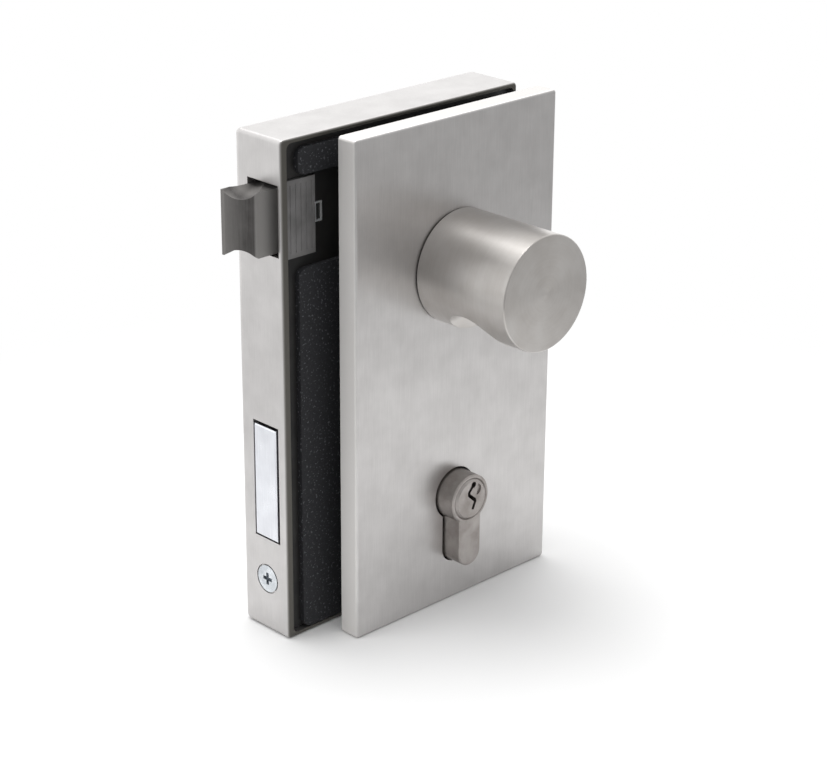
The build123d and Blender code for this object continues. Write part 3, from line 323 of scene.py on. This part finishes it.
# Deadbolt: satin nickel over upright grinding lines, bright and cool
boltFinish = {"grain": "z", "lineWidth": 0.3, "lineLength": 10, "lineShare": 0.5, "cloudSize": 6,
              "dark": "#D8DADF", "light": "#E7E9EE", "roughness": 0.3, "roughnessSpread": 0.04,
              "anisotropy": 0.3, "lift": 0.1, "edge": 0.2}
boltSteel = brushedMetal("bolt_steel", boltFinish)

# Cylinder and plugs: matt nickel plate over brass, with an even blasted grain
nickelFinish = {"grainSize": 0.18, "stainSize": 5, "dark": "#96908C", "light": "#AFAAA7",
                "roughness": 0.42, "roughnessSpread": 0.05, "lift": 0.3, "edge": 0.2}
mattNickel = grainyMetal("matt_nickel", nickelFinish)

# Turned brass of the bushes, the bearing and the pins
brassFinish = {"grain": "ring", "lineWidth": 0.2, "lineLength": 20, "lineShare": 0.6, "cloudSize": 5,
               "dark": "#A8853F", "light": "#CFAE66", "roughness": 0.32, "roughnessSpread": 0.06,
               "anisotropy": 0.4, "lift": 0.2, "edge": 0.15}
turnedBrass = brushedMetal("turned_brass", brassFinish)

# Zinc plate of screws, counter plate, spindle and small steel pieces: pale, slightly blue, uneven
zincFinish = {"grainSize": 0.3, "stainSize": 3, "dark": "#BBC0C5", "light": "#DEE2E6",
              "roughness": 0.3, "roughnessSpread": 0.07, "lift": 0.15, "edge": 0.15}
zincPlate = grainyMetal("zinc_plate", zincFinish)

# Sintered steel of the follower and the cam: dull grey with visible pores
sinterFinish = {"grainSize": 0.25, "stainSize": 4, "dark": "#5C5955", "light": "#807C77",
                "roughness": 0.5, "roughnessSpread": 0.08, "lift": 0.5, "edge": 0.2}
sinteredSteel = grainyMetal("sintered_steel", sinterFinish)

# Springs, rings, clips and the knob's set screw: oiled grey steel
springFinish = {"grainSize": 0.2, "stainSize": 2, "dark": "#6C6D70", "light": "#96979B",
                "roughness": 0.28, "roughnessSpread": 0.06, "lift": 0.1, "edge": 0.05}
springSteel = grainyMetal("spring_steel", springFinish)

# Wire clip beside the latch guide: tinned wire, bright but matt, so that it shows in the dark gap
clipFinish = {"grainSize": 0.2, "stainSize": 2, "dark": "#E4E5E6", "light": "#F4F4F5",
              "roughness": 0.6, "roughnessSpread": 0.05, "lift": 0.1, "edge": 0.1}
tinnedWire = grainyMetal("tinned_wire", clipFinish)

# Pads: black foam rubber with dust in its pores
padFinish = {"poreSize": 0.6, "speckSize": 0.8, "speckFrom": 0.62, "speckTo": 0.68, "dark": "#111215",
             "light": "#2A2B2F", "speck": "#55565A", "roughness": 0.75, "ior": 1.5, "lift": 0.7}
padRubber = speckledRubber("pad_rubber", padFinish)

# Carrier plate: matt black lacquer sprayed over steel
lacquerFinish = {"grainSize": 0.25, "cloudSize": 9, "dark": "#161616", "light": "#242322",
                 "roughness": 0.5, "roughnessSpread": 0.06, "ior": 1.5, "lift": 0.25}
blackLacquer = mouldedPlastic("black_lacquer", lacquerFinish)

# Latch guide: moulded grey glass-filled plastic, half matt
guideFinish = {"grainSize": 0.3, "cloudSize": 7, "dark": "#656464", "light": "#777676",
               "roughness": 0.4, "roughnessSpread": 0.06, "ior": 1.55, "lift": 0.3}
greyPlastic = mouldedPlastic("grey_plastic", guideFinish)

# Washer under the knob: moulded black plastic, half matt
washerFinish = {"grainSize": 0.3, "cloudSize": 4, "dark": "#1C1C1C", "light": "#262525",
                "roughness": 0.45, "roughnessSpread": 0.06, "ior": 1.5, "lift": 0.3}
darkPlastic = mouldedPlastic("dark_plastic", washerFinish)

# Every node takes the material of its slot in the record, unless it has one of its own
slotMaterials = {
    "brushed_stainless": brushedPlate,
    "latch_steel": latchSteel,
    "bolt_steel": boltSteel,
    "nickel_plated_brass": mattNickel,
    "bare_brass": turnedBrass,
    "zinc_plated_steel": zincPlate,
    "sintered_steel": sinteredSteel,
    "spring_steel": springSteel,
    "black_plate": blackLacquer,
    "speckled_rubber": padRubber,
    "grey_plastic": greyPlastic,
    "dark_plastic": darkPlastic,
}
ownMaterials = {
    "knob": turnedSteel,
    "lock_case": brushedCase,
    "front_cover": brushedCover,
    "guide_clip": tinnedWire,
}
for part in frame["record"]["subparts"]:
    node = nodes[part["node"]]
    node.data.materials.clear()
    node.data.materials.append(ownMaterials.get(part["node"], slotMaterials[part["material_slot"]]))
print("materials done")


# Spring of the latch: a coil of wire that takes the place of the solid

coilSettings = {
    "wire": 0.8,  # mm
    "turns": 9,
    "closedTurns": 1,  # at each end
    "stroke": 11,  # mm that the latch goes in
    "steps": 30,  # of the mesh in a turn
    "sides": 10,  # of the wire's cross-section
}


def addLatchCoil(coil):
    low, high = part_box("latch_spring")
    length, across = high[0] - low[0], high[2] - low[2]
    wire = coil["wire"] * mm
    radius = (across - wire) / 2
    openTurns = coil["turns"] - 2 * coil["closedTurns"]
    openPitch = (length - wire - 2 * coil["closedTurns"] * wire) / openTurns
    points, faces = [], []
    count = coil["turns"] * coil["steps"]
    for step in range(count + 1):
        turned = step / coil["steps"]
        closed = min(turned, coil["closedTurns"]) + max(turned - coil["turns"] + coil["closedTurns"], 0)
        along = wire / 2 + closed * wire + (turned - closed) * openPitch
        angle = 2 * pi * turned
        for side in range(coil["sides"]):
            lean = 2 * pi * side / coil["sides"]
            reach = radius + wire / 2 * cos(lean)
            points.append((low[0] + along + wire / 2 * sin(lean),
                           (low[1] + high[1]) / 2 + reach * cos(angle),
                           (low[2] + high[2]) / 2 + reach * sin(angle)))
    for step in range(count):
        start, end = step * coil["sides"], (step + 1) * coil["sides"]
        for side in range(coil["sides"]):
            after = (side + 1) % coil["sides"]
            faces.append((start + side, start + after, end + after, end + side))
    faces.append(tuple(range(coil["sides"] - 1, -1, -1)))
    faces.append(tuple(range(count * coil["sides"], (count + 1) * coil["sides"])))
    mesh = bpy.data.meshes.new("latch_coil")
    mesh.from_pydata(points, [], faces)
    mesh.shade_smooth()
    spring = bpy.data.objects.new("latch_coil", mesh)
    scene.collection.objects.link(spring)
    mesh.materials.append(springSteel)
    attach(spring, "housing")
    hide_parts("latch_spring")
    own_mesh(spring)


addLatchCoil(coilSettings)
print("latch spring done")


# Floor and light: a pale round table, a soft white surround and one soft lamp

floorSettings = {
    "radius": 0.34,  # m
    "corners": 96,
    "below": 0.1,  # mm under the object's lowest point
    "colour": "#ECECEC",
    "roughness": 0.9,
    "gloss": 0.1,
    "fadeFrom": 0.1,  # m from the middle
    "fadeTo": 0.85,  # share of the radius where it is all white
}


def addFloor(table):
    # Round pale table that fades to plain white away from the object, for the eye and for what shines
    floorLevel = cadBox[0][2] - table["below"] * mm
    bpy.ops.mesh.primitive_circle_add(vertices=table["corners"], radius=table["radius"], fill_type="NGON",
                                      location=(0, 0, floorLevel))
    floor = bpy.context.object
    floor.name = "floor"
    material, tree, shader = newMaterial("pale_floor", {"Base Color": linear(table["colour"]),
                                                        "Roughness": table["roughness"],
                                                        "Specular IOR Level": table["gloss"]})
    white = addNode(tree, "ShaderNodeEmission", {"Color": (1, 1, 1, 1), "Strength": 1.0})
    place = addNode(tree, "ShaderNodeTexCoord")
    reach = addNode(tree, "ShaderNodeVectorMath", {"operation": "LENGTH"}, {0: place.outputs["Object"]})
    far = addNode(tree, "ShaderNodeMapRange",
                  {"interpolation_type": "SMOOTHSTEP", "From Min": table["fadeFrom"],
                   "From Max": table["fadeTo"] * table["radius"]},
                  {"Value": reach.outputs["Value"]})
    path = addNode(tree, "ShaderNodeLightPath")
    shine = addNode(tree, "ShaderNodeMath", {"operation": "MAXIMUM"},
                    {0: path.outputs["Is Glossy Ray"], 1: path.outputs["Is Transmission Ray"]})
    either = addNode(tree, "ShaderNodeMath", {"operation": "MAXIMUM"},
                     {0: path.outputs["Is Camera Ray"], 1: shine.outputs[0]})
    seen = addNode(tree, "ShaderNodeMath", {"operation": "MULTIPLY"},
                   {0: far.outputs[0], 1: either.outputs[0]})
    both = addNode(tree, "ShaderNodeMixShader", {},
                   {0: seen.outputs[0], 1: shader.outputs[0], 2: white.outputs[0]})
    tree.links.new(both.outputs[0], tree.nodes["Material Output"].inputs["Surface"])
    floor.data.materials.append(material)


studioSettings = {
    "brightSide": (0.15, 0.8, 0.45),  # direction from the object, behind and above it
    "dimFrom": -0.5,  # cosine of the angle to the bright side, up to which it is dim
    "brightTo": 0.85,  # and from which it is bright
    "dim": 0.58,
    "bright": 1.44,
}


def setWorld(studio):
    # White to the camera; to other rays a soft surround, bright behind and above the object, dim in front
    world = bpy.data.worlds.new("studio")
    world.use_nodes = True
    tree = world.node_tree
    tree.nodes.clear()
    heading = addNode(tree, "ShaderNodeTexCoord")
    towards = addNode(tree, "ShaderNodeVectorMath",
                      {"operation": "DOT_PRODUCT", 1: Vector(studio["brightSide"]).normalized()},
                      {0: heading.outputs["Generated"]})
    strength = addNode(tree, "ShaderNodeMapRange",
                       {"interpolation_type": "SMOOTHSTEP",
                        "From Min": studio["dimFrom"], "From Max": studio["brightTo"],
                        "To Min": studio["dim"], "To Max": studio["bright"]},
                       {"Value": towards.outputs["Value"]})
    soft = addNode(tree, "ShaderNodeBackground", {"Color": (1, 1, 1, 1)}, {"Strength": strength.outputs[0]})
    white = addNode(tree, "ShaderNodeBackground", {"Color": (1, 1, 1, 1), "Strength": 1.0})
    path = addNode(tree, "ShaderNodeLightPath")
    both = addNode(tree, "ShaderNodeMixShader", {},
                   {0: path.outputs["Is Camera Ray"], 1: soft.outputs[0], 2: white.outputs[0]})
    addNode(tree, "ShaderNodeOutputWorld", {}, {"Surface": both.outputs[0]})
    scene.world = world


lampSettings = {
    "place": (-0.08, 0.1, 0.9),  # m, nearly overhead
    "aim": (0, 0, -0.035),  # m, about the middle of the object
    "size": 0.4,  # m
    "power": 3.6,  # W
}


def addLamp(name, lamp):
    # Square soft lamp that faces its aim
    data = bpy.data.lights.new(name, "AREA")
    data.energy = lamp["power"]
    data.size = lamp["size"]
    holder = bpy.data.objects.new(name, data)
    scene.collection.objects.link(holder)
    holder.location = lamp["place"]
    towards = Vector(lamp["aim"]) - holder.location
    holder.rotation_euler = towards.to_track_quat("-Z", "Y").to_euler()


addFloor(floorSettings)
setWorld(studioSettings)
addLamp("top_lamp", lampSettings)
print("stage done")


# Camera, from a perspective fit of the object's corners

view = {
    "azimuth": -44.047,  # degrees, as are the elevation and the roll
    "elevation": 21.558,
    "roll": 0.254,
    "distance": 0.729883,  # m from the aim
    "aim": (-0.015659, -0.0035, -0.031434),  # m
    "focal": 2239.606,  # pixels, as are the shift and the width
    "shift": (8, -20),
    "width": 827,
    "sensor": 36,  # mm
    "nearest": 0.01,  # m
}


def addCamera(view):
    azimuth, elevation, roll = [radians(view[key]) for key in ("azimuth", "elevation", "roll")]
    back = Vector((sin(azimuth) * cos(elevation), -cos(azimuth) * cos(elevation), sin(elevation)))
    level = Vector((0, 0, 1)).cross(back).normalized()
    up = back.cross(level)
    right = level * cos(roll) + up * sin(roll)
    data = bpy.data.cameras.new("camera")
    data.sensor_fit = "HORIZONTAL"
    data.sensor_width = view["sensor"]
    data.lens = view["sensor"] * view["focal"] / view["width"]
    data.shift_x = view["shift"][0] / view["width"]
    data.shift_y = view["shift"][1] / view["width"]
    data.clip_start = view["nearest"]
    camera = bpy.data.objects.new("camera", data)
    scene.collection.objects.link(camera)
    turn = Matrix((right, back.cross(right), back)).transposed()
    camera.matrix_world = Matrix.Translation(Vector(view["aim"]) + back * view["distance"]) @ turn.to_4x4()
    scene.camera = camera


addCamera(view)
scene.view_settings.view_transform = "Standard"
print("camera done")
